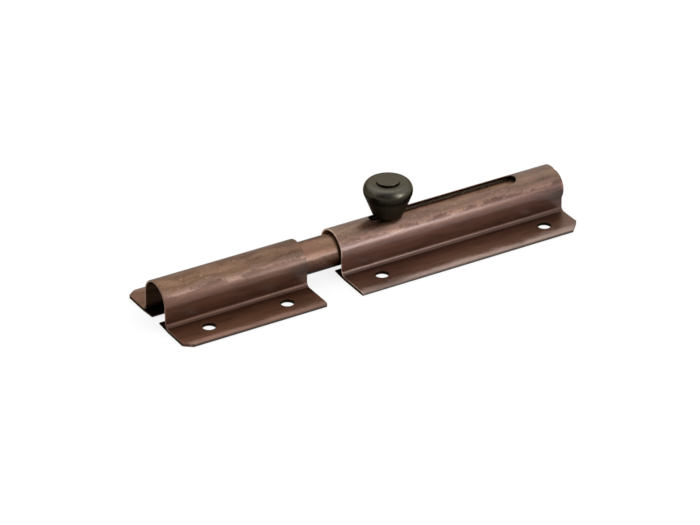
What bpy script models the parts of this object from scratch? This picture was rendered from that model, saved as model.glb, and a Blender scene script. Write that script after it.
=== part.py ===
"""Barrel bolt: a round bolt slides in a folded sheet barrel and shoots into a matching keeper.

Metres, +Z up. X runs along the bolt, with the keeper at -X and the barrel at +X. The undersides
of the flanges lie on Z = 0, and the origin is the middle of that footprint. The bolt is shown
shot, as on a locked door.
"""

import math

import bmesh
import bpy

# Bolt rod
ROD_RADIUS = 0.00635
ROD_LENGTH = 0.1524
ROD_CHAMFER = 0.0008
ROD_STANDOUT = 0.0020          # how far the rod shows past the barrel's outer end when it is shot

# Folded sheet, the same for the barrel and the keeper
SHEET = 0.0007
HEM_GAP = 0.0001               # slit between the flange and the layer folded under it
BRACKET_WIDTH = 0.0462
WALL_BEND_RADIUS = 0.0017
TUNNEL_CLEARANCE = 0.00075     # rod to arch, all round
ROD_DROP = 0.00045             # the rod hangs this far below the middle of the arch
LIP_SLIT = 0.0054              # open strip between the two lips under the rod
LIP_RISE = 0.0006              # spring-back of the lips' inner edges
LIP_CLEARANCE = 0.00085        # rod to the level of the lips' edges

# Barrel
BARREL_LENGTH = 0.0972
BARREL_CORNER_ALONG = 0.0049
BARREL_CORNER_ACROSS = 0.0052
BARREL_HOLE_INNER_INSET = 0.0132
BARREL_HOLE_OUTER_INSET = 0.0124
SLOT_INSET = 0.0166            # barrel's ends to the slot's ends

# Keeper
KEEPER_LENGTH = 0.0593
KEEPER_GAP = 0.01475           # keeper to barrel
KEEPER_CORNER_ALONG = 0.0037
KEEPER_CORNER_ACROSS = 0.0030
KEEPER_CORNER_ROUND = 0.0014
KEEPER_HOLE_OUTER_INSET = 0.0141
KEEPER_HOLE_INNER_INSET = 0.0125

# Screw holes in the flanges
HOLE_RADIUS = 0.00257
HOLE_ROW_SPACING = 0.0293

# Knob
KNOB_PLACE = 0.0246            # barrel's inner end to the knob's axis when the bolt is shot
KNOB_FOOT_RADIUS = 0.0060
KNOB_FOOT_ROUND = 0.0007
KNOB_RADIUS = 0.00933
KNOB_WIDEST_HEIGHT = 0.0099    # foot to the widest line
KNOB_HEIGHT = 0.0133
KNOB_TOP_RADIUS = 0.0067       # flat of the top, inside the rounded rim
SEAT_GAP = 0.0003              # between pieces that bear on each other

# Pin that holds the knob to the rod
PIN_RADIUS = 0.00275
PIN_HEAD_RADIUS = 0.00446
PIN_HEAD_HEIGHT = 0.00048
PIN_HEAD_ROUND = 0.0001
PIN_DEPTH = 0.0080             # below the top of the rod
SLOT_CLEARANCE = 0.00045       # pin to each side of the slot

# Facets
ROUND_SEGMENTS = 48
HOLE_SEGMENTS = 32
ARCH_STEPS = 18                # per quarter turn
BEND_STEPS = 6
FOLD_STEPS = 8
RIM_STEPS = 10
CUT_MARGIN = 0.002             # cutters reach this far past what they cut

# Places worked out from the sizes
FLANGE_THICKNESS = 2 * SHEET + HEM_GAP
ARCH_INNER_RADIUS = ROD_RADIUS + TUNNEL_CLEARANCE
ARCH_OUTER_RADIUS = ARCH_INNER_RADIUS + SHEET
ROD_AXIS_Z = LIP_RISE + SHEET + LIP_CLEARANCE + ROD_RADIUS
ARCH_CENTRE_Z = ROD_AXIS_Z + ROD_DROP
CROWN_Z = ARCH_CENTRE_Z + ARCH_OUTER_RADIUS
ROD_TOP_Z = ROD_AXIS_Z + ROD_RADIUS
KNOB_FOOT_Z = CROWN_Z + SEAT_GAP
KNOB_TOP_Z = KNOB_FOOT_Z + KNOB_HEIGHT
SLOT_HALF_WIDTH = PIN_RADIUS + SLOT_CLEARANCE

OVERALL_LENGTH = KEEPER_LENGTH + KEEPER_GAP + BARREL_LENGTH + ROD_STANDOUT
KEEPER_OUTER_X = -OVERALL_LENGTH / 2
KEEPER_INNER_X = KEEPER_OUTER_X + KEEPER_LENGTH
BARREL_INNER_X = KEEPER_INNER_X + KEEPER_GAP
BARREL_OUTER_X = BARREL_INNER_X + BARREL_LENGTH
ROD_RIGHT_X = BARREL_OUTER_X + ROD_STANDOUT
ROD_LEFT_X = ROD_RIGHT_X - ROD_LENGTH
KNOB_X = BARREL_INNER_X + KNOB_PLACE
HOLE_Y = HOLE_ROW_SPACING / 2


def clear_scene():
    for old in list(bpy.data.objects):
        bpy.data.objects.remove(old, do_unlink=True)


def finish(name, colour, metallic, roughness):
    """A plain surface: base colour, metallic and roughness."""
    material = bpy.data.materials.new(name)
    material.use_nodes = True
    shader = material.node_tree.nodes["Principled BSDF"]
    shader.inputs["Base Color"].default_value = (*colour, 1.0)
    shader.inputs["Metallic"].default_value = metallic
    shader.inputs["Roughness"].default_value = roughness
    material.diffuse_color = (*colour, 1.0)
    return material


def add_object(name, bm, material=None):
    """A new object from a bmesh, shaded smooth over its round stretches."""
    mesh = bpy.data.meshes.new(name)
    bmesh.ops.recalc_face_normals(bm, faces=bm.faces)
    bm.to_mesh(mesh)
    bm.free()
    mesh.shade_smooth()
    mesh.set_sharp_from_angle(angle=math.radians(32))
    if material:
        mesh.materials.append(material)
    obj = bpy.data.objects.new(name, mesh)
    bpy.context.collection.objects.link(obj)
    return obj


def prism(points, axis, start, end):
    """A closed outline, drawn across an axis, extruded along that axis from start to end."""
    bm = bmesh.new()
    corners = []
    for a, b in points:
        place = (start, a, b) if axis == "X" else (a, b, start)
        corners.append(bm.verts.new(place))
    face = bm.faces.new(corners)
    grown = bmesh.ops.extrude_face_region(bm, geom=[face])
    moved = [part for part in grown["geom"] if isinstance(part, bmesh.types.BMVert)]
    reach = end - start
    bmesh.ops.translate(bm, verts=moved, vec=(reach, 0, 0) if axis == "X" else (0, 0, reach))
    return bm


def turned(profile, segments):
    """A solid of revolution about Z from (radius, height) points that start and end on the axis."""
    bm = bmesh.new()
    line = [bm.verts.new((radius, 0, height)) for radius, height in profile]
    edges = [bm.edges.new(pair) for pair in zip(line, line[1:])]
    bmesh.ops.spin(bm, geom=line + edges, cent=(0, 0, 0), axis=(0, 0, 1),
                   angle=2 * math.pi, steps=segments, use_merge=True)
    bmesh.ops.remove_doubles(bm, verts=bm.verts, dist=1e-6)
    return bm


def cut(obj, cutter, operation="DIFFERENCE"):
    """Cut an object with a hidden one."""
    cutter.display_type = "WIRE"
    cutter.hide_render = True
    step = obj.modifiers.new(cutter.name, "BOOLEAN")
    step.operation = operation
    step.solver = "EXACT"
    step.object = cutter


def drill(obj, name, x, y, radius, bottom, top):
    """A round hole along Z."""
    bm = turned([(0, bottom), (radius, bottom), (radius, top), (0, top)], HOLE_SEGMENTS)
    cutter = add_object(name, bm)
    cutter.location = (x, y, 0)
    cut(obj, cutter)


def arc(centre_y, centre_z, radius, start, end, steps):
    """Stations along an arc of the sheet's middle line, as (y, z, direction outwards)."""
    stations = []
    for step in range(steps + 1):
        angle = math.radians(start + (end - start) * step / steps)
        y = centre_y + radius * math.cos(angle)
        z = centre_z + radius * math.sin(angle)
        stations.append((y, z, angle))
    return stations


def half_middle_line():
    """The sheet's middle line on the +Y side, from the crown down to the lip's inner edge.

    Each station is (y, z, ny, nz), with the normal towards the outer face of the sheet.
    """
    half = SHEET / 2
    line = []
    for y, z, angle in arc(0, ARCH_CENTRE_Z, ARCH_INNER_RADIUS + half, 90, 0, ARCH_STEPS):
        line.append((y, z, math.cos(angle), math.sin(angle)))
    bend_y = ARCH_OUTER_RADIUS + WALL_BEND_RADIUS
    bend_z = FLANGE_THICKNESS + WALL_BEND_RADIUS
    for y, z, angle in arc(bend_y, bend_z, WALL_BEND_RADIUS + half, 180, 270, BEND_STEPS):
        line.append((y, z, -math.cos(angle), -math.sin(angle)))
    fold_y = BRACKET_WIDTH / 2 - FLANGE_THICKNESS / 2
    fold_z = FLANGE_THICKNESS / 2
    for y, z, angle in arc(fold_y, fold_z, (SHEET + HEM_GAP) / 2, 90, -90, FOLD_STEPS):
        line.append((y, z, math.cos(angle), math.sin(angle)))
    line.append((bend_y, half, 0, -1))
    lip_y = LIP_SLIT / 2
    lip_tilt = math.atan2(LIP_RISE, bend_y - lip_y)
    line.append((lip_y, half + LIP_RISE, -math.sin(lip_tilt), -math.cos(lip_tilt)))
    return line


def folded_outline():
    """The closed section of the folded sheet across X: its outer face out, its inner face back."""
    right = half_middle_line()
    left = [(-y, z, -ny, nz) for y, z, ny, nz in right[:0:-1]]
    line = left + right
    outer = [(y + ny * SHEET / 2, z + nz * SHEET / 2) for y, z, ny, nz in line]
    inner = [(y - ny * SHEET / 2, z - nz * SHEET / 2) for y, z, ny, nz in line]
    return outer + inner[::-1]


def plan_outline(left, right, corners):
    """The bracket's outline from above. Corners at the left and right ends are named in corners."""
    edge = BRACKET_WIDTH / 2 + CUT_MARGIN
    points = []
    for x, sign, shape in ((left, -1, corners[0]), (right, 1, corners[1])):
        kind, along, across = shape
        side = BRACKET_WIDTH / 2
        quarter = []
        if kind == "square":
            quarter = [(x, edge)]
        elif kind == "cropped":
            overrun = CUT_MARGIN * along / across
            quarter = [(x, side - across), (x - sign * (along + overrun), edge)]
        elif kind == "rounded":
            centre = (x - sign * along, side - along)
            for step in range(BEND_STEPS + 1):
                angle = math.radians(90) * step / BEND_STEPS
                reach_x = centre[0] + sign * along * math.cos(angle)
                quarter.append((reach_x, centre[1] + along * math.sin(angle)))
            quarter.append((x - sign * along, edge))
        if sign < 0:
            points += [(px, -py) for px, py in quarter[::-1]] + quarter
        else:
            points += quarter[::-1] + [(px, -py) for px, py in quarter]
    return points


def folded_bracket(name, left, right, corners, hole_places, material):
    """One bracket: the folded strip, cropped to its plan outline and drilled for its screws."""
    strip = prism(folded_outline(), "X", left - CUT_MARGIN, right + CUT_MARGIN)
    bracket = add_object(name, strip, material)
    blank = prism(plan_outline(left, right, corners), "Z", -CUT_MARGIN, CROWN_Z + CUT_MARGIN)
    cut(bracket, add_object(name + "_plan", blank), "INTERSECT")
    for number, x in enumerate(hole_places):
        for side in (-1, 1):
            hole = f"{name}_hole_{number}_{'front' if side < 0 else 'back'}"
            drill(bracket, hole, x, side * HOLE_Y, HOLE_RADIUS, -CUT_MARGIN, FLANGE_THICKNESS + CUT_MARGIN)
    return bracket


def keeper_bracket(material):
    """The short bracket that the bolt shoots into, open at both ends."""
    corners = (("cropped", KEEPER_CORNER_ALONG, KEEPER_CORNER_ACROSS),
               ("rounded", KEEPER_CORNER_ROUND, KEEPER_CORNER_ROUND))
    holes = (KEEPER_OUTER_X + KEEPER_HOLE_OUTER_INSET, KEEPER_INNER_X - KEEPER_HOLE_INNER_INSET)
    return folded_bracket("keeper_bracket", KEEPER_OUTER_X, KEEPER_INNER_X, corners, holes, material)


def barrel_bracket(material):
    """The long bracket that carries the bolt, with the knob's slot along its crown."""
    corners = (("square", 0, 0), ("cropped", BARREL_CORNER_ALONG, BARREL_CORNER_ACROSS))
    holes = (BARREL_INNER_X + BARREL_HOLE_INNER_INSET, BARREL_OUTER_X - BARREL_HOLE_OUTER_INSET)
    barrel = folded_bracket("barrel_bracket", BARREL_INNER_X, BARREL_OUTER_X, corners, holes, material)
    slot = prism(slot_outline(), "Z", ARCH_CENTRE_Z, CROWN_Z + CUT_MARGIN)
    cut(barrel, add_object("barrel_slot", slot))
    return barrel


def slot_outline():
    """A long slot with round ends, seen from above."""
    points = []
    ends = ((BARREL_OUTER_X - SLOT_INSET - SLOT_HALF_WIDTH, -90),
            (BARREL_INNER_X + SLOT_INSET + SLOT_HALF_WIDTH, 90))
    for centre_x, start in ends:
        for step in range(HOLE_SEGMENTS // 2 + 1):
            angle = math.radians(start + 360 * step / HOLE_SEGMENTS)
            reach_x = centre_x + SLOT_HALF_WIDTH * math.cos(angle)
            points.append((reach_x, SLOT_HALF_WIDTH * math.sin(angle)))
    return points


def bolt_rod(slide, material):
    """The round bar, chamfered at both ends, with a blind hole for the knob's pin."""
    profile = [(0, 0), (ROD_RADIUS - ROD_CHAMFER, 0), (ROD_RADIUS, ROD_CHAMFER),
               (ROD_RADIUS, ROD_LENGTH - ROD_CHAMFER), (ROD_RADIUS - ROD_CHAMFER, ROD_LENGTH),
               (0, ROD_LENGTH)]
    bm = turned(profile, ROUND_SEGMENTS)
    for vert in bm.verts:
        radius_x, radius_y, along = vert.co
        vert.co = (ROD_LEFT_X - KNOB_X + along, radius_x, radius_y)
    rod = add_object("bolt_rod", bm, material)
    rod.parent = slide
    bottom = ROD_TOP_Z - PIN_DEPTH - SEAT_GAP
    drill(rod, "rod_pin_hole", KNOB_X, 0, PIN_RADIUS + SEAT_GAP, bottom, ROD_TOP_Z + CUT_MARGIN)
    return rod


def knob(slide, material):
    """The turned knob: a cone that widens upwards to a rounded rim, bored for its pin."""
    profile = [(0, 0)]
    foot_centre = KNOB_FOOT_RADIUS - KNOB_FOOT_ROUND
    for step in range(BEND_STEPS):
        angle = math.radians(-90 + 72 * step / (BEND_STEPS - 1))
        radius = foot_centre + KNOB_FOOT_ROUND * math.cos(angle)
        profile.append((radius, KNOB_FOOT_ROUND + KNOB_FOOT_ROUND * math.sin(angle)))
    rim_width = KNOB_RADIUS - KNOB_TOP_RADIUS
    rim_height = KNOB_HEIGHT - KNOB_WIDEST_HEIGHT
    for step in range(-RIM_STEPS // 3, RIM_STEPS + 1):
        angle = math.radians(90 * step / RIM_STEPS)
        radius = KNOB_TOP_RADIUS + rim_width * math.cos(angle)
        profile.append((radius, KNOB_WIDEST_HEIGHT + rim_height * math.sin(angle)))
    profile.append((0, KNOB_HEIGHT))
    body = add_object("knob", turned(profile, ROUND_SEGMENTS), material)
    body.parent = slide
    body.location = (0, 0, KNOB_FOOT_Z - ROD_AXIS_Z)
    drill(body, "knob_pin_hole", KNOB_X, 0, PIN_RADIUS + SEAT_GAP,
          KNOB_FOOT_Z - CUT_MARGIN, KNOB_TOP_Z + CUT_MARGIN)
    return body


def knob_pin(slide, material):
    """The headed pin that goes through the knob and the slot into the rod."""
    head_bottom = KNOB_TOP_Z + SEAT_GAP - ROD_AXIS_Z
    head_top = head_bottom + PIN_HEAD_HEIGHT
    tip = ROD_RADIUS - PIN_DEPTH
    profile = [(0, tip), (PIN_RADIUS, tip), (PIN_RADIUS, head_bottom), (PIN_HEAD_RADIUS, head_bottom),
               (PIN_HEAD_RADIUS, head_top - PIN_HEAD_ROUND), (PIN_HEAD_RADIUS - PIN_HEAD_ROUND, head_top),
               (0, head_top)]
    pin = add_object("knob_pin", turned(profile, HOLE_SEGMENTS), material)
    pin.parent = slide
    return pin


def main():
    clear_scene()
    copper = finish("antique_copper", (0.16, 0.085, 0.06), 0.85, 0.42)
    bar_copper = finish("antique_copper_bar", (0.18, 0.095, 0.065), 0.85, 0.38)
    dark = finish("dark_bronze", (0.035, 0.03, 0.022), 0.6, 0.45)
    dark_pin = finish("dark_bronze_pin", (0.045, 0.038, 0.03), 0.6, 0.4)
    keeper_bracket(copper)
    barrel_bracket(finish("antique_copper_barrel", (0.16, 0.085, 0.06), 0.85, 0.42))
    slide = bpy.data.objects.new("bolt_slide", None)
    slide.location = (KNOB_X, 0, ROD_AXIS_Z)
    bpy.context.collection.objects.link(slide)
    bolt_rod(slide, bar_copper)
    knob(slide, dark)
    knob_pin(slide, dark_pin)


main()
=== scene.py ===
import math

import bmesh
import bpy
from mathutils import Matrix, Vector


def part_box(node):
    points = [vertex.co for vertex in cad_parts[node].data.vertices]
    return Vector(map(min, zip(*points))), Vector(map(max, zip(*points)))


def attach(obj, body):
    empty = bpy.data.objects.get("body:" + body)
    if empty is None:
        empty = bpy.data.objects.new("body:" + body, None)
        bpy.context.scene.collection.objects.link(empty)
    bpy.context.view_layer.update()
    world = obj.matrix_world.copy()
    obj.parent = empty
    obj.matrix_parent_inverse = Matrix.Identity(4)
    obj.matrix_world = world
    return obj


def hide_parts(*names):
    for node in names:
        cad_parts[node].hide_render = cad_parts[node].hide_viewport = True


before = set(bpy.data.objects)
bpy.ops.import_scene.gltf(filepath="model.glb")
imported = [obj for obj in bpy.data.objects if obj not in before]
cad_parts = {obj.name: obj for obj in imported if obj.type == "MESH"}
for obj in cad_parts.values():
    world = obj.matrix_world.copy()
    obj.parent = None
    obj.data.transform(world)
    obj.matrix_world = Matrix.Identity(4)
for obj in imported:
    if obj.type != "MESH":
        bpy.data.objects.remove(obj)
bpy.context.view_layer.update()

# Barrel bracket
# One strip of 0.7 mm mild steel, roll-formed into an arch over two flanges whose outer edges are
# folded back under them, as far as two lips below the rod. It is cropped to length and punched
# for four screws and the knob's slot, then copper plated, browned, rubbed back and lacquered.
SHEET = 0.0007
HEM_GAP = 0.0001
ARCH_OUTER_RADIUS = 0.0078
ARCH_CENTRE_Z = 0.00895
WALL_BEND_RADIUS = 0.0017
LIP_SLIT = 0.0054
LIP_RISE = 0.0006
HOLE_RADIUS = 0.00257
HOLE_ROW_SPACING = 0.0293
EDGE_FALL = 0.0002             # the fold draws the flange's top down beside it
EDGE_FALL_WIDTH = 0.0020
EDGE_FALL_STEPS = 6
EDGE_ROUND = 0.00018           # tumbling and plating take the corner off every cut edge
CROP_OXIDE_AND_SHADE = 0.4               # how much of the straight cuts' dark tone, partly oxidised and partly painted shade, is on the cropped corners
SHOULDER_HEIGHT = 0.0139       # the middle of the painted highlight band, pinker, along the arch
WALL_MIDDLE_HEIGHT = 0.0082
BARREL_CORNER_ALONG = 0.0049
BARREL_CORNER_ACROSS = 0.0052
BARREL_HOLE_INNER_INSET = 0.0132
BARREL_HOLE_OUTER_INSET = 0.0124
SLOT_INSET = 0.0166
SLOT_HALF_WIDTH = 0.0032
SLOT_LIGHT_FULL = 0.0080       # how far past the slot's right end its painted light and shade inside reach
SLOT_LIGHT_ENDS = 0.0110
ALONG_BOLT = Vector((1, 0, 0))


def run_on(bm, end, step):
    """Draw a line on from its end vertex, straight."""
    new_end = bmesh.ops.extrude_vert_indiv(bm, verts=[end])["verts"][0]
    bmesh.ops.translate(bm, verts=[new_end], vec=step)
    return new_end


def curve_on(bm, end, centre, axis, degrees, steps):
    """Draw a line on from its end vertex, round an arc. Returns the arc's vertices."""
    before = set(bm.verts)
    swung = bmesh.ops.spin(bm, geom=[end], cent=centre, axis=axis, steps=steps,
                           angle=math.radians(degrees))
    last = [part for part in swung["geom_last"] if isinstance(part, bmesh.types.BMVert)]
    return [vert for vert in bm.verts if vert not in before and vert not in last] + last


def folded_strip(left, right):
    """The middle surface of the folded strip, from one lip's edge over the arch to the other's."""
    half = SHEET / 2
    flange_top = 2 * SHEET + HEM_GAP
    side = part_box("barrel_bracket")[1][1]
    bend_y = ARCH_OUTER_RADIUS + WALL_BEND_RADIUS
    bend_z = flange_top + WALL_BEND_RADIUS
    fold_y = side - flange_top / 2
    bm = bmesh.new()
    crown = bm.verts.new((left, 0, ARCH_CENTRE_Z + ARCH_OUTER_RADIUS - half))
    end = curve_on(bm, crown, (left, 0, ARCH_CENTRE_Z), ALONG_BOLT, 90, 24)[-1]
    end = run_on(bm, end, (0, 0, bend_z - ARCH_CENTRE_Z))
    end = curve_on(bm, end, (left, -bend_y, bend_z), ALONG_BOLT, -90, 8)[-1]
    end = run_on(bm, end, (0, bend_y - fold_y + EDGE_FALL_WIDTH, 0))
    for step in range(EDGE_FALL_STEPS):
        end = run_on(bm, end, (0, -EDGE_FALL_WIDTH / EDGE_FALL_STEPS, 0))
    end = curve_on(bm, end, (left, -fold_y, flange_top / 2), ALONG_BOLT, 180, 10)[-1]
    end = run_on(bm, end, (0, fold_y - bend_y, 0))
    run_on(bm, end, (0, bend_y - LIP_SLIT / 2, LIP_RISE))
    bmesh.ops.mirror(bm, geom=bm.verts[:] + bm.edges[:], axis="Y", merge_dist=1e-6)
    grown = bmesh.ops.extrude_edge_only(bm, edges=bm.edges[:])["geom"]
    far_end = [part for part in grown if isinstance(part, bmesh.types.BMVert)]
    bmesh.ops.translate(bm, verts=far_end, vec=(right - left, 0, 0))
    return bm


def blank(left, right, crops):
    """A block as the bracket's outline from above. crops are (point, direction) lines at its
    corners on the +Y side, which are cut off there and on the -Y side."""
    low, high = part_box("barrel_bracket")
    bm = bmesh.new()
    bmesh.ops.create_cube(bm, size=1)
    bmesh.ops.scale(bm, vec=(right - left, 2 * high[1] + SHEET, 2 * high[2]), verts=bm.verts)
    bmesh.ops.translate(bm, vec=((left + right) / 2, 0, high[2] / 2), verts=bm.verts)
    for (x, y), (out_x, out_y) in crops:
        for side in (1, -1):
            parts = bm.verts[:] + bm.edges[:] + bm.faces[:]
            halved = bmesh.ops.bisect_plane(bm, geom=parts, dist=1e-8, plane_co=(x, side * y, 0),
                                            plane_no=(out_x, side * out_y, 0), clear_outer=True)
            rim = [part for part in halved["geom_cut"] if isinstance(part, bmesh.types.BMEdge)]
            bmesh.ops.holes_fill(bm, edges=rim, sides=0)
    return bm


def round_punch(x, y, radius, bottom, top, segments=40):
    """A round punch along Z."""
    bm = bmesh.new()
    bmesh.ops.create_cone(bm, cap_ends=True, segments=segments, radius1=radius, radius2=radius,
                          depth=top - bottom)
    bmesh.ops.translate(bm, verts=bm.verts, vec=(x, y, (top + bottom) / 2))
    return bm


def slot_punch(left, right, bottom, top, segments=48):
    """A punch for a long slot with round ends: a round punch whose right half is drawn along."""
    start = left + SLOT_HALF_WIDTH
    bm = round_punch(start, 0, SLOT_HALF_WIDTH, bottom, top, segments)
    bmesh.ops.rotate(bm, verts=bm.verts, cent=(start, 0, 0),
                     matrix=Matrix.Rotation(math.pi / segments, 3, "Z"))
    right_half = [vert for vert in bm.verts if vert.co.x > start]
    bmesh.ops.translate(bm, verts=right_half, vec=(right - SLOT_HALF_WIDTH - start, 0, 0))
    return bm


def helper(name, bm):
    """An object for a shape that only works on another one."""
    bmesh.ops.recalc_face_normals(bm, faces=bm.faces)
    mesh = bpy.data.meshes.new(name)
    bm.to_mesh(mesh)
    bm.free()
    made = bpy.data.objects.new(name, mesh)
    bpy.context.scene.collection.objects.link(made)
    return made


def shaped(bm, thickness=0, trim=None, punches=()):
    """Give a surface its thickness, trim it to a block and punch it. Returns the new bmesh."""
    work = helper("work", bm)
    tools = []
    if thickness:
        skin = work.modifiers.new("thickness", "SOLIDIFY")
        skin.thickness = thickness
        skin.offset = 0
        skin.use_even_offset = True
    for number, (tool, operation) in enumerate(
            [(trim, "INTERSECT")] * bool(trim) + [(punch, "DIFFERENCE") for punch in punches]):
        tools.append(helper(f"tool_{number}", tool))
        step = work.modifiers.new(f"step_{number}", "BOOLEAN")
        step.operation = operation
        step.solver = "EXACT"
        step.object = tools[-1]
    done = bmesh.new()
    done.from_mesh(work.evaluated_get(bpy.context.evaluated_depsgraph_get()).to_mesh())
    for old in [work, *tools]:
        bpy.data.objects.remove(old, do_unlink=True)
    return done


def ease(bm, width, chosen, segments=2):
    """Round the sharp edges of a solid for which chosen(edge) is true. Returns the new faces."""
    sharp = [edge for edge in bm.edges
             if edge.is_manifold and edge.calc_face_angle() > math.radians(38) and chosen(edge)]
    rounded = bmesh.ops.bevel(bm, geom=sharp, offset=width, offset_type="OFFSET", affect="EDGES",
                              segments=segments, profile=0.5, material=-1, clamp_overlap=False)
    return rounded["faces"]


def finish_piece(name, bm, material, body, node):
    """The finished piece stands for its CAD node and rides on the node's body."""
    mesh = bpy.data.meshes.new(name)
    bm.to_mesh(mesh)
    bm.free()
    mesh.shade_smooth()
    mesh.set_sharp_from_angle(angle=math.radians(50))
    mesh.materials.append(material)
    piece = bpy.data.objects.new(name, mesh)
    bpy.context.scene.collection.objects.link(piece)
    flats = piece.modifiers.new("flats", "WEIGHTED_NORMAL")
    flats.keep_sharp = True
    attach(piece, body)
    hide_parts(node)
    return piece


def folded_bracket(left, right, crops, hole_places, more_punches=()):
    """One bracket: folded, cropped, punched, and its cut edges eased."""
    flange_top = 2 * SHEET + HEM_GAP
    holes = [Vector((x, side * HOLE_ROW_SPACING / 2)) for x in hole_places for side in (-1, 1)]
    punches = [round_punch(*hole, HOLE_RADIUS, -SHEET, flange_top + SHEET) for hole in holes]
    strip = folded_strip(left - SHEET, right + SHEET)
    bm = shaped(strip, SHEET, blank(left, right, crops), punches + list(more_punches))
    bmesh.ops.remove_doubles(bm, verts=bm.verts, dist=1e-7)
    fold_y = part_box("barrel_bracket")[1][1] - flange_top
    fall_y = fold_y + flange_top / 2 - EDGE_FALL_WIDTH
    for vert in bm.verts:
        outwards = min((abs(vert.co.y) - fall_y) / EDGE_FALL_WIDTH, 1)
        if outwards > 0:
            upper = max((vert.co.z - flange_top / 2) / (flange_top / 2), 0)
            vert.co.z -= EDGE_FALL * outwards ** 2 * upper ** 2

    gap_low, gap_high = SHEET * 0.8, SHEET * 1.3

    def open_edge(edge):
        middle = (edge.verts[0].co + edge.verts[1].co) / 2
        in_fold = abs(middle.y) > fold_y and gap_low < middle.z < gap_high
        return not in_fold

    # Faces that the shears and punches left are marked for their own finish, and so are the
    # lower corners beside them. The upper corners are marked as rubbed and painted light, partly
    # rubbed metal and partly painted highlight, apart from those round the holes and slot, and
    # those facing right, away from the light, which get no painted highlight.
    rounded = ease(bm, EDGE_ROUND, open_edge)
    bm.normal_update()
    bm.faces.index_update()
    corners = {face.index for face in rounded}
    marks = bm.faces.layers.float
    for mark in ("sheared", "slotted", "rubbed"):
        marks.new(mark)
    for face in bm.faces:
        middle = face.calc_center_median()
        in_slot = (middle.z > crown_z - 2 * SHEET
                   and min(middle.x - left, right - middle.x) > 2 * SHEET)
        in_hole = any((middle.xy - hole).length < HOLE_RADIUS + EDGE_ROUND for hole in holes)
        upright = abs(face.normal.z) < 0.4
        cut_out = in_slot or in_hole
        on_flange = middle.z < 2 * SHEET
        folded_under = (middle.z < gap_high
                        or on_flange and abs(middle.y) < ARCH_OUTER_RADIUS)
        under = face.index in corners and (folded_under or on_flange and face.normal.z < 0)
        sheared = abs(face.normal.x) > 0.5 or upright and cut_out or under
        cropped = on_flange and upright and not cut_out and abs(face.normal.y) > 0.3
        face[marks["sheared"]] = CROP_OXIDE_AND_SHADE if sheared and cropped else sheared
        face[marks["slotted"]] = upright and in_slot
        face[marks["rubbed"]] = (face.index in corners and face.normal.z > 0
                                 and face.normal.x < 0.2 and not cut_out and not under)
    return bm


def linear(hex_colour):
    """An sRGB hex colour as the linear colour that a shader socket takes."""
    channels = [int(hex_colour[place:place + 2], 16) / 255 for place in (1, 3, 5)]
    return (*[c / 12.92 if c <= 0.04045 else ((c + 0.055) / 1.055) ** 2.4 for c in channels], 1)


def add_node(owner, kind, inputs=None, output=0, **settings):
    """Add a shader node with its settings. inputs are plain values or the sockets to link from.
    Returns one output socket."""
    made = owner.node_tree.nodes.new(kind)
    for name, value in settings.items():
        setattr(made, name, value)
    for name, value in (inputs or {}).items():
        if isinstance(value, bpy.types.NodeSocket):
            owner.node_tree.links.new(value, made.inputs[name])
        else:
            made.inputs[name].default_value = value
    return made.outputs[output] if made.outputs else None


def grain(millimetres):
    """Noise scale for patches of this size, on coordinates in metres."""
    return 1000 / millimetres
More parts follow.
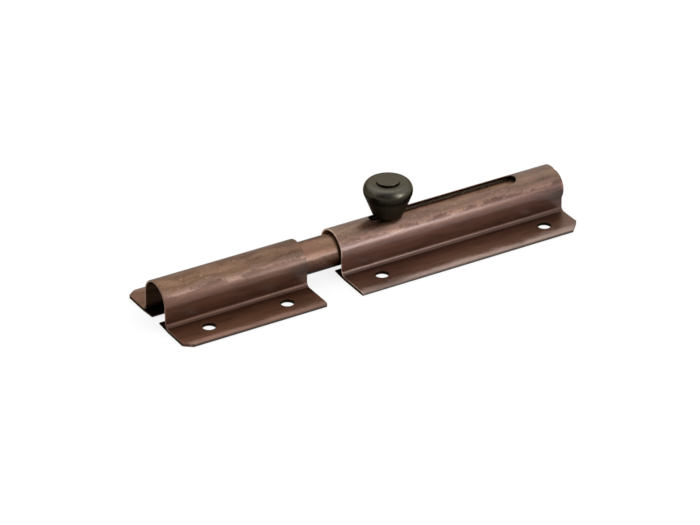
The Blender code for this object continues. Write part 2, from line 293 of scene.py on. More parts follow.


# Antique copper: copper plate, browned with sulphide, rubbed back and lacquered. The eye sees a
# warm brown metal, darker and redder low down, partly as patina and partly as painted shade,
# clouded and sparsely flecked on the faces, pinker and lighter along the rubbed edges, partly as
# painted highlight, with a painted highlight band along the arch, under a clear coat that greys
# the highlights. More painted shade darkens the folds' insides, the folded edge's outer face, the
# right end and the top of the inside under the slot, and painted light lies lower down there.
def antique_copper(name, tones, buffed_lit_from, buffed_lit_to, roughness, coat, ends, sheet=True):
    """The from and to heights are those between which the colour turns from the low tone, partly
    patina the buff missed and partly painted shade, to the rubbed-back one, and coat is the
    lacquer's weight. ends are the places along X between which painted shade darkens the colour a
    little, the second being the piece's right end. sheet is false for the bar."""
    material = bpy.data.materials.new(name)
    material.use_nodes = True
    material.node_tree.nodes.clear()
    place = add_node(material, "ShaderNodeTexCoord", output="Object")
    drawn = add_node(material, "ShaderNodeMapping", {"Vector": place, "Scale": (0.4, 1, 1)})
    apart = add_node(material, "ShaderNodeSeparateXYZ", {"Vector": place}).node
    y, height = apart.outputs["Y"], apart.outputs["Z"]
    across = add_node(material, "ShaderNodeMath", {0: y}, operation="ABSOLUTE")
    clouds = add_node(material, "ShaderNodeTexNoise", {
        "Vector": drawn, "Scale": grain(5), "Detail": 6, "Roughness": 0.62})
    tints = add_node(material, "ShaderNodeTexNoise", {
        "Vector": drawn, "Scale": grain(8), "Detail": 3, "Roughness": 0.55})
    mottle = add_node(material, "ShaderNodeTexNoise", {
        "Vector": place, "Scale": grain(1.2), "Detail": 4, "Roughness": 0.7})
    # The clouds, with a third of the finer mottle in them, are where patina is left or rubbed off.
    both = add_node(material, "ShaderNodeMix", {0: 0.3, 2: clouds, 3: mottle})
    worn = add_node(material, "ShaderNodeMapRange", {
        "Value": both, "From Min": 0.38, "From Max": 0.58}, interpolation_type="SMOOTHSTEP")
    warm = add_node(material, "ShaderNodeMapRange", {
        "Value": tints, "From Min": 0.42, "From Max": 0.58}, interpolation_type="SMOOTHSTEP")
    rubbed = add_node(material, "ShaderNodeMix", {
        0: warm, 6: linear(tones["rosy"]), 7: linear(tones["golden"])}, output=2, data_type="RGBA")
    colour = add_node(material, "ShaderNodeMix", {
        0: worn, 6: linear(tones["patina"]), 7: rubbed}, output=2, data_type="RGBA")
    flecks = add_node(material, "ShaderNodeTexNoise", {
        "Vector": place, "Scale": grain(1), "Detail": 2, "Roughness": 0.5})
    flecked = add_node(material, "ShaderNodeMapRange", {
        "Value": flecks, "From Min": 0.63, "From Max": 0.71, "To Max": 0.5},
        interpolation_type="SMOOTHSTEP")
    colour = add_node(material, "ShaderNodeMix", {
        0: flecked, 6: colour, 7: linear("#B0906C")}, output=2, data_type="RGBA")
    # Where the colour turns from the darker low tone to the rubbed-back one: all over the arch,
    # hardly down the walls. The low tone is partly patina and partly painted shade.
    ragged = add_node(material, "ShaderNodeMath", {
        0: both, 1: 0.011, 2: -0.0055}, operation="MULTIPLY_ADD")
    uneven_height = add_node(material, "ShaderNodeMath", {0: height, 1: ragged})
    buffed_and_lit = add_node(material, "ShaderNodeMapRange", {
        "Value": uneven_height, "From Min": buffed_lit_from, "From Max": buffed_lit_to},
        interpolation_type="SMOOTHSTEP")
    low = linear(tones["low_patina_and_shade"])
    # The lacquer is thinner low down, most of all on the bar.
    lacquered = add_node(material, "ShaderNodeMapRange", {
        "Value": height, "From Min": 0.0070, "From Max": 0.0105,
        "To Min": coat * (0.6 if sheet else 0.25), "To Max": coat})
    if sheet:
        uneven_across = add_node(material, "ShaderNodeMath", {0: across, 1: ragged})
        # The flanges catch a little of the buff, more towards their edges.
        on_flange = add_node(material, "ShaderNodeMapRange", {
            "Value": across, "From Min": 0.0085, "From Max": 0.0100})
        outwards = add_node(material, "ShaderNodeMapRange", {
            "Value": uneven_across, "From Min": 0.0100, "From Max": 0.0200})
        flange = add_node(material, "ShaderNodeMix", {
            0: outwards, 6: linear(tones["flange"]), 7: linear(tones["flange_edge"])},
            output=2, data_type="RGBA")
        flange_low = add_node(material, "ShaderNodeMix", {
            0: on_flange, 6: low, 7: flange}, output=2, data_type="RGBA")
        # The inside of each fold is painted darker: painted shade that dims its highlight.
        out_of_bend = add_node(material, "ShaderNodeMapRange", {
            "Value": height, "From Min": 0.0018, "From Max": 0.0072})
        clear_of_bend = add_node(material, "ShaderNodeMapRange", {
            "Value": across, "From Min": 0.0084, "From Max": 0.0100})
        clear_of_bend = add_node(material, "ShaderNodeMath", {
            0: out_of_bend, 1: clear_of_bend}, operation="MAXIMUM")
        flange_low = add_node(material, "ShaderNodeMix", {
            0: clear_of_bend, 6: linear(tones["bend_shade"]), 7: flange_low}, output=2, data_type="RGBA")
        colour = add_node(material, "ShaderNodeMix", {
            0: buffed_and_lit, 6: flange_low, 7: colour}, output=2, data_type="RGBA")
        # A ragged band high on the arch's sides is painted pinker than the crown: a painted
        # highlight.
        off_highlight_band = add_node(material, "ShaderNodeMath", {
            0: uneven_height, 1: SHOULDER_HEIGHT}, operation="SUBTRACT")
        off_highlight_band = add_node(material, "ShaderNodeMath", {0: off_highlight_band}, operation="ABSOLUTE")
        shoulder_highlight = add_node(material, "ShaderNodeMapRange", {
            "Value": off_highlight_band, "From Min": 0.0003, "From Max": 0.0013, "To Min": 0.62,
            "To Max": 0}, interpolation_type="SMOOTHSTEP")
        colour = add_node(material, "ShaderNodeMix", {
            0: shoulder_highlight, 6: colour, 7: linear(tones["shoulder_highlight"])}, output=2, data_type="RGBA")
        # The folded edge is painted light on top, partly rubbed metal and partly painted highlight,
        # and its outer face is painted nearly black low down: painted shade.
        rim = add_node(material, "ShaderNodeMapRange", {
            "Value": uneven_across, "From Min": 0.0190, "From Max": 0.0217},
            interpolation_type="SMOOTHSTEP")
        colour = add_node(material, "ShaderNodeMix", {
            0: rim, 6: colour, 7: linear(tones["rim"])}, output=2, data_type="RGBA")
        outer_face = add_node(material, "ShaderNodeMath", {
            0: across, 1: half_width - 0.0006}, operation="GREATER_THAN")
        shaded = add_node(material, "ShaderNodeMapRange", {
            "Value": height, "From Min": 0.0010, "From Max": 0.0014, "To Min": 0.92, "To Max": 0},
            interpolation_type="SMOOTHSTEP")
        shaded = add_node(material, "ShaderNodeMath", {
            0: shaded, 1: outer_face}, operation="MULTIPLY")
        # The sheared faces are painted light on the arch, partly rubbed metal and partly painted
        # highlight, and black near the door, partly oxidised and partly painted shade. The slot's
        # own are dark brown.
        sheared = add_node(material, "ShaderNodeAttribute", output="Fac", attribute_name="sheared")
        oxide_and_shade = linear("#241812")
        high_up = add_node(material, "ShaderNodeMapRange", {
            "Value": height, "From Min": 0.0018, "From Max": 0.0060},
            interpolation_type="SMOOTHSTEP")
        cut_colour = add_node(material, "ShaderNodeMix", {
            0: high_up, 6: oxide_and_shade, 7: linear(tones["cut"])}, output=2, data_type="RGBA")
        slotted = add_node(material, "ShaderNodeAttribute", output="Fac", attribute_name="slotted")
        cut_colour = add_node(material, "ShaderNodeMix", {
            0: slotted, 6: cut_colour, 7: linear("#4C301A")}, output=2, data_type="RGBA")
        # The folded edge's lower outer face takes the dark colour as painted shade.
        colour = add_node(material, "ShaderNodeMix", {
            0: shaded, 6: colour, 7: oxide_and_shade}, output=2, data_type="RGBA")
        # Inside the arch the plate is dull and nearly black. Under the slot it is painted black
        # near the top, as painted shade, and painted light lower down, for light thrown back by the
        # rod.
        above = add_node(material, "ShaderNodeMath", {
            0: height, 1: ARCH_CENTRE_Z}, operation="SUBTRACT")
        above = add_node(material, "ShaderNodeMath", {0: above, 1: 0}, operation="MAXIMUM")
        spoke = add_node(material, "ShaderNodeCombineXYZ", {"Y": y, "Z": above})
        radius = add_node(material, "ShaderNodeVectorMath", {
            0: spoke}, output="Value", operation="LENGTH")
        outside = add_node(material, "ShaderNodeMapRange", {
            "Value": radius, "From Min": ARCH_OUTER_RADIUS - SHEET * 0.98,
            "From Max": ARCH_OUTER_RADIUS - SHEET * 0.8})
        past_mouth = add_node(material, "ShaderNodeMapRange", {
            "Value": apart.outputs["X"], "From Min": barrel_left - 0.002, "From Max": barrel_left})
        before_end = add_node(material, "ShaderNodeMapRange", {
            "Value": apart.outputs["X"],
            "From Min": barrel_right - SLOT_INSET + SLOT_LIGHT_FULL,
            "From Max": barrel_right - SLOT_INSET + SLOT_LIGHT_ENDS, "To Min": 1, "To Max": 0})
        near_top = add_node(material, "ShaderNodeMapRange", {
            "Value": height, "From Min": 0.0104, "From Max": 0.0112})
        under_slot = add_node(material, "ShaderNodeMath", {
            0: past_mouth, 1: before_end}, operation="MULTIPLY")
        under_slot = add_node(material, "ShaderNodeMath", {
            0: under_slot, 1: near_top}, operation="MULTIPLY")
        low_down = add_node(material, "ShaderNodeMapRange", {
            "Value": height, "From Min": 0.0128, "From Max": 0.0144, "To Min": 1, "To Max": 0})
        painted_slot_light = add_node(material, "ShaderNodeMath", {
            0: under_slot, 1: low_down}, operation="MULTIPLY")
        inside = add_node(material, "ShaderNodeMix", {
            0: under_slot, 6: linear("#3A2418"), 7: linear("#24150B")}, output=2, data_type="RGBA")
        inside = add_node(material, "ShaderNodeMix", {
            0: painted_slot_light, 6: inside, 7: linear("#F0D2B4")}, output=2, data_type="RGBA")
        colour = add_node(material, "ShaderNodeMix", {
            0: outside, 6: inside, 7: colour}, output=2, data_type="RGBA")
        colour = add_node(material, "ShaderNodeMix", {
            0: sheared, 6: colour, 7: cut_colour}, output=2, data_type="RGBA")
        # Rubbed corners are painted light: partly rubbed metal, partly painted highlight.
        rubbed_lit_corner = add_node(material, "ShaderNodeAttribute", output="Fac",
                                 attribute_name="rubbed")
        colour = add_node(material, "ShaderNodeMix", {
            0: rubbed_lit_corner, 6: colour, 7: linear(tones["corner"])}, output=2, data_type="RGBA")
        bare = add_node(material, "ShaderNodeMath", {
            0: outside, 1: sheared}, operation="SUBTRACT", use_clamp=True)
        lacquered = add_node(material, "ShaderNodeMath", {
            0: lacquered, 1: bare}, operation="MULTIPLY")
        # The wall under the slot where light is painted, and the cuts on the arch, are less
        # metallic than the plate, and the slot's cuts as metallic.
        dull = add_node(material, "ShaderNodeMapRange", {
            "Value": painted_slot_light, "To Min": 0.85, "To Max": 0.1})
        plated = add_node(material, "ShaderNodeMix", {0: outside, 2: dull, 3: 1})
        cut_metal = add_node(material, "ShaderNodeMapRange", {
            "Value": high_up, "To Min": 1, "To Max": 0.5})
        cut_metal = add_node(material, "ShaderNodeMath", {
            0: cut_metal, 1: slotted}, operation="MAXIMUM")
        plated = add_node(material, "ShaderNodeMix", {0: sheared, 2: plated, 3: cut_metal})
    else:
        colour = add_node(material, "ShaderNodeMix", {
            0: buffed_and_lit, 6: low, 7: colour}, output=2, data_type="RGBA")
        plated = 0.95
    # Towards the right end the colour is painted a little darker, and darkest on its walls:
    # painted shade for light that falls off there.
    near_end = add_node(material, "ShaderNodeMapRange", {
        "Value": apart.outputs["X"], "From Min": ends[0], "From Max": ends[1], "To Max": 0.16})
    at_end = add_node(material, "ShaderNodeMapRange", {
        "Value": apart.outputs["X"], "From Min": ends[1] - 0.012, "From Max": ends[1],
        "To Max": 0.5}, interpolation_type="SMOOTHSTEP")
    off_wall = add_node(material, "ShaderNodeMath", {
        0: height, 1: WALL_MIDDLE_HEIGHT}, operation="SUBTRACT")
    off_wall = add_node(material, "ShaderNodeMath", {0: off_wall}, operation="ABSOLUTE")
    on_wall = add_node(material, "ShaderNodeMapRange", {
        "Value": off_wall, "From Min": 0.0012, "From Max": 0.0038, "To Min": 1, "To Max": 0})
    at_end = add_node(material, "ShaderNodeMath", {0: at_end, 1: on_wall}, operation="MULTIPLY")
    streaks_and_end_shade = add_node(material, "ShaderNodeMath", {0: near_end, 1: at_end})
    # Rolling and buffing left faint streaks along the strip.
    rolled = add_node(material, "ShaderNodeMapping", {"Vector": place, "Scale": (0.17, 1, 1)})
    streaks = add_node(material, "ShaderNodeTexNoise", {
        "Vector": rolled, "Scale": grain(2), "Detail": 3, "Roughness": 0.6})
    streaky = add_node(material, "ShaderNodeMapRange", {
        "Value": streaks, "From Min": 0.46, "From Max": 0.70,
        "To Max": 0.32 if sheet else 0.16})
    streaks_and_end_shade = add_node(material, "ShaderNodeMath", {0: streaks_and_end_shade, 1: streaky})
    colour = add_node(material, "ShaderNodeMix", {
        0: streaks_and_end_shade, 6: colour, 7: linear("#1C120C")}, output=2, data_type="RGBA")
    # The surface waves a little with the rolling, and the patina makes it finely uneven.
    rough = add_node(material, "ShaderNodeMapRange", {
        "Value": mottle, "From Min": 0.3, "From Max": 0.7,
        "To Min": roughness - 0.06, "To Max": roughness + 0.06})
    waves = add_node(material, "ShaderNodeTexNoise", {
        "Vector": drawn, "Scale": grain(12), "Detail": 3, "Roughness": 0.45})
    wavy = add_node(material, "ShaderNodeBump", {
        "Height": waves, "Distance": 0.0003, "Strength": 1})
    bumps = add_node(material, "ShaderNodeBump", {
        "Height": mottle, "Distance": 0.00004, "Strength": 1, "Normal": wavy})
    surface = add_node(material, "ShaderNodeBsdfPrincipled", {
        "Base Color": colour, "Metallic": plated, "Roughness": rough, "Normal": bumps,
        "Specular Tint": linear(tones["graze"]), "Coat Weight": lacquered,
        "Coat Roughness": 0.2, "Coat IOR": 1.7, "Coat Normal": wavy})
    add_node(material, "ShaderNodeOutputMaterial", {"Surface": surface})
    return material


half_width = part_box("barrel_bracket")[1][1]
crown_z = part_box("barrel_bracket")[1][2]
barrel_left, barrel_right = (corner[0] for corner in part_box("barrel_bracket"))
# Of these tones, the low one is partly patina and partly painted shade, the fold insides' one is
# painted shade, the band high on the arch is a painted highlight, and those of the rim, cuts and
# corners are partly rubbed metal and partly painted highlight.
barrel_copper = antique_copper("antique_copper_barrel", {
    "patina": "#684A38", "golden": "#8C6D56", "rosy": "#866356", "low_patina_and_shade": "#67473C",
    "flange": "#775442", "flange_edge": "#7F5E4D", "rim": "#AE9488", "cut": "#D0A88C",
    "corner": "#D6B6A6", "bend_shade": "#533A2F", "graze": "#D2CEC2", "shoulder_highlight": "#A4806E"},
    buffed_lit_from=0.0128, buffed_lit_to=0.0148, roughness=0.42, coat=0.55,
    ends=(barrel_right - 0.030, barrel_right))
barrel_crops = [((barrel_right, half_width - BARREL_CORNER_ACROSS),
                 (BARREL_CORNER_ACROSS, BARREL_CORNER_ALONG))]
barrel_holes = (barrel_left + BARREL_HOLE_INNER_INSET, barrel_right - BARREL_HOLE_OUTER_INSET)
slot = slot_punch(barrel_left + SLOT_INSET, barrel_right - SLOT_INSET,
                  ARCH_CENTRE_Z, crown_z + SHEET)
barrel = folded_bracket(barrel_left, barrel_right, barrel_crops, barrel_holes, [slot])
finish_piece("barrel_sheet", barrel, barrel_copper, "brackets",
             "barrel_bracket")

# Keeper bracket
# A short length of the same folded strip, open at both ends so that the rod shoots right through.
# Its outer corners are cropped and its inner ones rounded.
KEEPER_CORNER_ALONG = 0.0037
KEEPER_CORNER_ACROSS = 0.0030
KEEPER_CORNER_ROUND = 0.0014
KEEPER_HOLE_OUTER_INSET = 0.0141
KEEPER_HOLE_INNER_INSET = 0.0125
CORNER_FACETS = 5

keeper_left, keeper_right = (corner[0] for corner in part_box("keeper_bracket"))
keeper_crops = [((keeper_left, half_width - KEEPER_CORNER_ACROSS),
                 (-KEEPER_CORNER_ACROSS, KEEPER_CORNER_ALONG))]
for facet in range(1, CORNER_FACETS + 1):
    turn = math.radians(90 * facet / (CORNER_FACETS + 1))
    out = (math.cos(turn), math.sin(turn))
    inset = KEEPER_CORNER_ROUND * (1 - out[0]), KEEPER_CORNER_ROUND * (1 - out[1])
    keeper_crops.append(((keeper_right - inset[0], half_width - inset[1]), out))
keeper_holes = (keeper_left + KEEPER_HOLE_OUTER_INSET, keeper_right - KEEPER_HOLE_INNER_INSET)
keeper = folded_bracket(keeper_left, keeper_right, keeper_crops, keeper_holes)
# Of these tones, the low one is partly patina and partly painted shade, the fold insides' one is
# painted shade, the band high on the arch is a painted highlight, and those of the rim, cuts and
# corners are partly rubbed metal and partly painted highlight.
keeper_copper = antique_copper("antique_copper_keeper", {
    "patina": "#6C4B34", "golden": "#8F6D53", "rosy": "#87614F", "low_patina_and_shade": "#6A4A3C",
    "flange": "#78533F", "flange_edge": "#7C5843", "rim": "#987465", "cut": "#8A6C58",
    "corner": "#7A5C4C", "bend_shade": "#573C30", "graze": "#E0DCD0", "shoulder_highlight": "#A28272"},
    buffed_lit_from=0.0128, buffed_lit_to=0.0144, roughness=0.44, coat=0.30,
    ends=(keeper_left + 0.008, keeper_right))
finish_piece("keeper_sheet", keeper, keeper_copper, "brackets",
             "keeper_bracket")

# Bolt rod
# A length of 12.7 mm drawn steel bar with turned chamfers, plated and browned with the brackets.
# The knob's pin is set in a blind hole in its top.
ROD_RADIUS = 0.00635
ROD_CHAMFER = 0.0008
PIN_RADIUS = 0.00275
PIN_DEPTH = 0.0080
SEAT_GAP = 0.0003

rod_low, rod_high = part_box("bolt_rod")
rod_axis_z = (rod_low[2] + rod_high[2]) / 2
knob_low, knob_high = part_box("knob")
knob_x = (knob_low[0] + knob_high[0]) / 2
rod = bmesh.new()
bmesh.ops.create_circle(rod, cap_ends=True, segments=96, radius=ROD_RADIUS)
bmesh.ops.rotate(rod, verts=rod.verts, matrix=Matrix.Rotation(math.pi / 2, 3, "Y"))
bmesh.ops.translate(rod, verts=rod.verts, vec=(rod_low[0], 0, rod_axis_z))
drawn = bmesh.ops.extrude_face_region(rod, geom=rod.faces[:])["geom"]
drawn_end = [part for part in drawn if isinstance(part, bmesh.types.BMVert)]
bmesh.ops.translate(rod, verts=drawn_end, vec=(rod_high[0] - rod_low[0], 0, 0))
bmesh.ops.recalc_face_normals(rod, faces=rod.faces)
ease(rod, ROD_CHAMFER, lambda edge: True, 3)
rod_top = rod_axis_z + ROD_RADIUS
rod = shaped(rod, punches=[round_punch(knob_x, 0, PIN_RADIUS + SEAT_GAP,
                                       rod_top - PIN_DEPTH - SEAT_GAP, rod_top + SEAT_GAP)])
# The place where the painted end shade would begin lies past the bar's right end, so none of it
# falls on the bar.
# The bar's low tone, on its underside, is partly patina and partly painted shade.
bar_copper = antique_copper("antique_copper_bar", {
    "patina": "#6C4A37", "golden": "#8F6D53", "rosy": "#8A6452", "low_patina_and_shade": "#40281C",
    "graze": "#7C7466"}, buffed_lit_from=0.0060, buffed_lit_to=0.0140, roughness=0.42, coat=0.34,
    ends=(rod_high[0], rod_high[0] + 0.020), sheet=False)
finish_piece("rod", rod, bar_copper, "bolt", "bolt_rod")

# Knob
# Turned from steel bar as a cone that widens upwards to a round rim, bored through for its pin,
# then blackened to a dark bronze and waxed. Its foot rides on the crown of the barrel.
FOOT_RADIUS = 0.0060
FOOT_ROUND = 0.0007
KNOB_RADIUS = 0.00933
RIM_TOP_RADIUS = 0.0067
WIDEST_HEIGHT = 0.0099
SHADE_RING_HEIGHT = 0.0258      # the middle of the painted shade ring, just under the rim, above the door
POLISH_BEGINS = 0.0250         # hands polish the knob from here up
POLISH_FULL = 0.0275
ACROSS_KNOB = Vector((0, 1, 0))
UP = Vector((0, 0, 1))

foot_z, knob_top_z = knob_low[2], knob_high[2]
widest_z = foot_z + WIDEST_HEIGHT
rim_height = knob_top_z - widest_z
rim_width = KNOB_RADIUS - RIM_TOP_RADIUS
bore = PIN_RADIUS + SEAT_GAP
knob = bmesh.new()
start = knob.verts.new((bore, 0, foot_z))
end = run_on(knob, start, (FOOT_RADIUS - FOOT_ROUND - bore, 0, 0))
foot = curve_on(knob, end, (FOOT_RADIUS - FOOT_ROUND, 0, foot_z + FOOT_ROUND), ACROSS_KNOB, -72, 6)
# The rim is drawn as a round arc and then narrowed to its real width.
top = knob.verts.new((RIM_TOP_RADIUS, 0, knob_top_z))
rim = curve_on(knob, top, (RIM_TOP_RADIUS, 0, widest_z), ACROSS_KNOB, 117, 16)
bmesh.ops.scale(knob, verts=rim, vec=(rim_width / rim_height, 1, 1),
                space=Matrix.Translation((-RIM_TOP_RADIUS, 0, 0)))
knob.edges.new((foot[-1], rim[-1]))
end = run_on(knob, top, (bore - RIM_TOP_RADIUS, 0, 0))
knob.edges.new((end, start))
bmesh.ops.spin(knob, geom=knob.verts[:] + knob.edges[:], cent=(0, 0, 0), axis=UP,
               angle=2 * math.pi, steps=96, use_merge=True)
bmesh.ops.remove_doubles(knob, verts=knob.verts, dist=1e-7)
bmesh.ops.recalc_face_normals(knob, faces=knob.faces)
bmesh.ops.translate(knob, verts=knob.verts, vec=(knob_x, 0, 0))


# Dark bronze: blackened steel under wax. The eye sees a nearly black olive-brown metal with a
# satin sheen and a soft glint on the rim. Its lighter top is partly worn wax and partly painted
# light, and painted shade darkens it under the rim and on the side towards the keeper.
def dark_bronze(name, deep, worn, worn_lit_from, worn_lit_to, roughness):
    """The from and to heights bound the lighter top: partly wax worn off by hands, partly painted
    light.
    """
    material = bpy.data.materials.new(name)
    material.use_nodes = True
    material.node_tree.nodes.clear()
    place = add_node(material, "ShaderNodeTexCoord", output="Object")
    height = add_node(material, "ShaderNodeSeparateXYZ", {"Vector": place}, output="Z")
    clouds = add_node(material, "ShaderNodeTexNoise", {
        "Vector": place, "Scale": grain(3), "Detail": 5, "Roughness": 0.6})
    uneven = add_node(material, "ShaderNodeMath", {
        0: clouds, 1: 0.002, 2: height}, operation="MULTIPLY_ADD")
    # The side towards the keeper, away from the front, is painted darker: painted shade.
    from_axis = add_node(material, "ShaderNodeVectorMath", {
        0: place, 1: (knob_x, 0, 0)}, operation="SUBTRACT")
    left_side_shade = add_node(material, "ShaderNodeVectorMath", {
        0: from_axis, 1: (-0.12, 0.07, 0)}, output="Value", operation="DOT_PRODUCT")
    left_side_shade = add_node(material, "ShaderNodeMath", {0: left_side_shade, 1: 0}, operation="MAXIMUM")
    uneven = add_node(material, "ShaderNodeMath", {0: uneven, 1: left_side_shade}, operation="SUBTRACT")
    worn_and_lit = add_node(material, "ShaderNodeMapRange", {
        "Value": uneven, "From Min": worn_lit_from + 0.001, "From Max": worn_lit_to + 0.001},
        interpolation_type="SMOOTHSTEP")
    colour = add_node(material, "ShaderNodeMix", {
        0: worn_and_lit, 6: linear(deep), 7: linear(worn)}, output=2, data_type="RGBA")
    # Under the rim a ring is painted darker: painted shade.
    off_shade_ring = add_node(material, "ShaderNodeMath", {
        0: height, 1: SHADE_RING_HEIGHT}, operation="SUBTRACT")
    off_shade_ring = add_node(material, "ShaderNodeMath", {0: off_shade_ring}, operation="ABSOLUTE")
    shade_ring = add_node(material, "ShaderNodeMapRange", {
        "Value": off_shade_ring, "From Min": 0.0010, "From Max": 0.0022, "To Min": 0.75,
        "To Max": 0}, interpolation_type="SMOOTHSTEP")
    colour = add_node(material, "ShaderNodeMix", {
        0: shade_ring, 6: colour, 7: linear("#17130B")}, output=2, data_type="RGBA")
    fine = add_node(material, "ShaderNodeTexNoise", {
        "Vector": place, "Scale": grain(0.5), "Detail": 3, "Roughness": 0.6})
    bumps = add_node(material, "ShaderNodeBump", {
        "Height": fine, "Distance": 0.00002, "Strength": 0.5})
    # Hands polish the rim. The cone stays as matt as the blacking left it.
    matt = add_node(material, "ShaderNodeMapRange", {
        "Value": height, "From Min": POLISH_BEGINS, "From Max": POLISH_FULL,
        "To Min": roughness + 0.2, "To Max": roughness + 0.03})
    surface = add_node(material, "ShaderNodeBsdfPrincipled", {
        "Base Color": colour, "Metallic": 1, "Roughness": matt, "Normal": bumps,
        "Specular Tint": linear("#A8A48E"), "Coat Weight": 0.12, "Coat Roughness": 0.2})
    add_node(material, "ShaderNodeOutputMaterial", {"Surface": surface})
    return material


knob_bronze = dark_bronze("dark_bronze_knob", deep="#3A342A", worn="#5F5A50",
                          worn_lit_from=0.0276, worn_lit_to=0.0292, roughness=0.29)
finish_piece("knob_turned", knob, knob_bronze, "bolt", "knob")

# Knob pin
# A headed pin, blackened as the knob is. It holds the knob down through the slot, and its round
# head shows as a raised button on the knob's top.
PIN_HEAD_RADIUS = 0.00446
PIN_HEAD_ROUND = 0.0001

pin_low, pin_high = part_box("knob_pin")
head_z = knob_top_z + SEAT_GAP
pin = bmesh.new()
tip = pin.verts.new((0, 0, pin_low[2]))
end = run_on(pin, tip, (PIN_RADIUS, 0, 0))
end = run_on(pin, end, (0, 0, head_z - pin_low[2]))
end = run_on(pin, end, (PIN_HEAD_RADIUS - PIN_RADIUS, 0, 0))
end = run_on(pin, end, (0, 0, pin_high[2] - head_z))
run_on(pin, end, (-PIN_HEAD_RADIUS, 0, 0))
bmesh.ops.spin(pin, geom=pin.verts[:] + pin.edges[:], cent=(0, 0, 0), axis=UP,
               angle=2 * math.pi, steps=64, use_merge=True)
bmesh.ops.remove_doubles(pin, verts=pin.verts, dist=1e-7)
bmesh.ops.recalc_face_normals(pin, faces=pin.faces)
bmesh.ops.translate(pin, verts=pin.verts, vec=(knob_x, 0, 0))
ease(pin, PIN_HEAD_ROUND, lambda edge: True)
finish_piece("knob_button", pin, knob_bronze, "bolt", "knob_pin")

# Floor, light and camera
# A white sweep in a white tent that is darker on the camera's side, with one soft box low at the
# right of the camera.
floor_mesh = bpy.data.meshes.new("floor")
floor = bmesh.new()
bmesh.ops.create_grid(floor, x_segments=1, y_segments=1, size=6)
floor.to_mesh(floor_mesh)
floor.free()
floor_object = bpy.data.objects.new("floor", floor_mesh)
bpy.context.scene.collection.objects.link(floor_object)
paper = bpy.data.materials.new("white_paper")
paper.use_nodes = True
paper.node_tree.nodes.clear()
rays = add_node(paper, "ShaderNodeLightPath").node.outputs
seen = add_node(paper, "ShaderNodeMath", {
    0: rays["Is Camera Ray"], 1: rays["Is Glossy Ray"]}, operation="MAXIMUM")
seen = add_node(paper, "ShaderNodeMath", {
    0: seen, 1: rays["Is Transmission Ray"]}, operation="MAXIMUM")
part = add_node(paper, "ShaderNodeMath", {0: seen, 1: 0.75}, operation="MULTIPLY")
matt = add_node(paper, "ShaderNodeBsdfDiffuse", {"Color": (0.86, 0.86, 0.86, 1)})
lit = add_node(paper, "ShaderNodeEmission", {"Color": (1, 1, 1, 1), "Strength": 1.12})
surface = add_node(paper, "ShaderNodeMixShader", {0: part, 1: matt, 2: lit})
add_node(paper, "ShaderNodeOutputMaterial", {"Surface": surface})
floor_mesh.materials.append(paper)

# The tent's cloth is dimmer towards the camera and low down at the back, and brighter overhead.
world = bpy.data.worlds.new("tent")
world.use_nodes = True
way = add_node(world, "ShaderNodeTexCoord", output="Generated")
camera_side = add_node(world, "ShaderNodeVectorMath", {
    0: way, 1: (-0.50, -0.75, 0.43)}, output="Value", operation="DOT_PRODUCT")
ceiling = add_node(world, "ShaderNodeVectorMath", {
    0: way, 1: (0.14, 0.30, 0.944)}, output="Value", operation="DOT_PRODUCT")
dim = add_node(world, "ShaderNodeMapRange", {
    "Value": camera_side, "From Min": 0.45, "From Max": 0.9, "To Min": 0.92, "To Max": 0.22},
    interpolation_type="SMOOTHSTEP")
bright = add_node(world, "ShaderNodeMapRange", {
    "Value": ceiling, "From Min": 0.8, "From Max": 0.97, "To Max": 0.4},
    interpolation_type="SMOOTHSTEP")
strength = add_node(world, "ShaderNodeMath", {0: dim, 1: bright})
far_side = add_node(world, "ShaderNodeVectorMath", {
    0: way, 1: (0.44, 0.89, 0)}, output="Value", operation="DOT_PRODUCT")
far_side = add_node(world, "ShaderNodeMapRange", {
    "Value": far_side, "From Min": 0.2, "From Max": 0.8, "To Max": 0.5},
    interpolation_type="SMOOTHSTEP")
rise = add_node(world, "ShaderNodeSeparateXYZ", {"Vector": way}, output="Z")
low_down = add_node(world, "ShaderNodeMapRange", {
    "Value": rise, "From Min": 0.05, "From Max": 0.4, "To Min": 1, "To Max": 0},
    interpolation_type="SMOOTHSTEP")
gloom = add_node(world, "ShaderNodeMath", {0: far_side, 1: low_down}, operation="MULTIPLY")
strength = add_node(world, "ShaderNodeMath", {0: strength, 1: gloom}, operation="SUBTRACT")
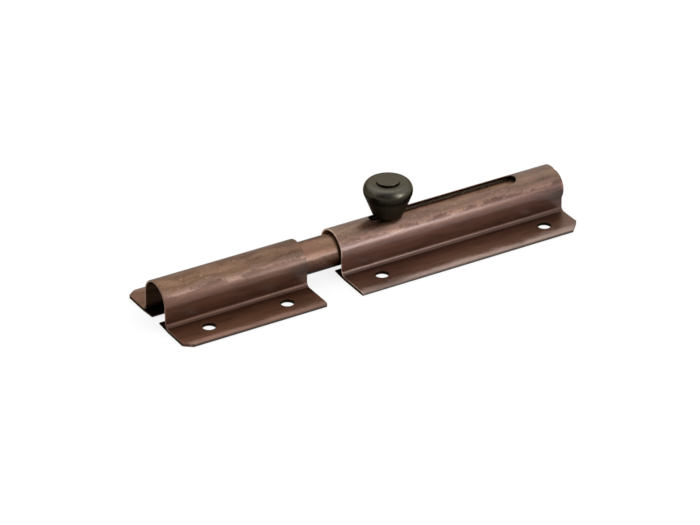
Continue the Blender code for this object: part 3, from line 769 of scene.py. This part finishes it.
world.node_tree.nodes["Background"].inputs["Color"].default_value = (1, 1, 1, 1)
world.node_tree.links.new(strength, world.node_tree.nodes["Background"].inputs["Strength"])
bpy.context.scene.world = world

slant = Vector((0.158, -0.070, -0.144))
for lamp_name, length, power, place in (("soft_box", 0.215, 0.195, (0.116, -0.276, 0.135)),
                                        ("hot_box", 0.06, 0.136, (0.146, -0.306, 0.080))):
    lamp = bpy.data.lights.new(lamp_name, "AREA")
    lamp.shape = "RECTANGLE"
    lamp.size = length
    lamp.size_y = 0.12
    lamp.energy = power
    light = bpy.data.objects.new(lamp_name, lamp)
    bpy.context.scene.collection.objects.link(light)
    facing = Vector(place).normalized()
    along = (slant - slant.dot(facing) * facing).normalized()
    light.matrix_world = (Matrix.Translation(place)
                          @ Matrix((along, facing.cross(along), facing)).transposed().to_4x4())

# The camera looks down on the bolt from the left of its front, as the photograph was taken.
LOOK_AZIMUTH = math.radians(30.856)
LOOK_DOWN = math.radians(29.732)
LOOK_ROLL = math.radians(-0.106)
LOOK_AT = Vector((-0.010946, -0.010934, 0.008))
LOOK_DISTANCE = 1.49412
forward = Vector((math.sin(LOOK_AZIMUTH) * math.cos(LOOK_DOWN),
                  math.cos(LOOK_AZIMUTH) * math.cos(LOOK_DOWN), -math.sin(LOOK_DOWN)))
level = Vector((math.cos(LOOK_AZIMUTH), -math.sin(LOOK_AZIMUTH), 0))
upright = level.cross(forward)
side_way = math.cos(LOOK_ROLL) * level + math.sin(LOOK_ROLL) * upright
up_way = math.cos(LOOK_ROLL) * upright - math.sin(LOOK_ROLL) * level
camera_data = bpy.data.cameras.new("camera")
camera_data.sensor_width = 36
camera_data.lens = 208.77
camera = bpy.data.objects.new("camera", camera_data)
bpy.context.scene.collection.objects.link(camera)
turned = Matrix((side_way, up_way, -forward)).transposed().to_4x4()
camera.matrix_world = Matrix.Translation(LOOK_AT - LOOK_DISTANCE * forward) @ turned
bpy.context.scene.camera = camera
bpy.context.scene.view_settings.view_transform = "Standard"
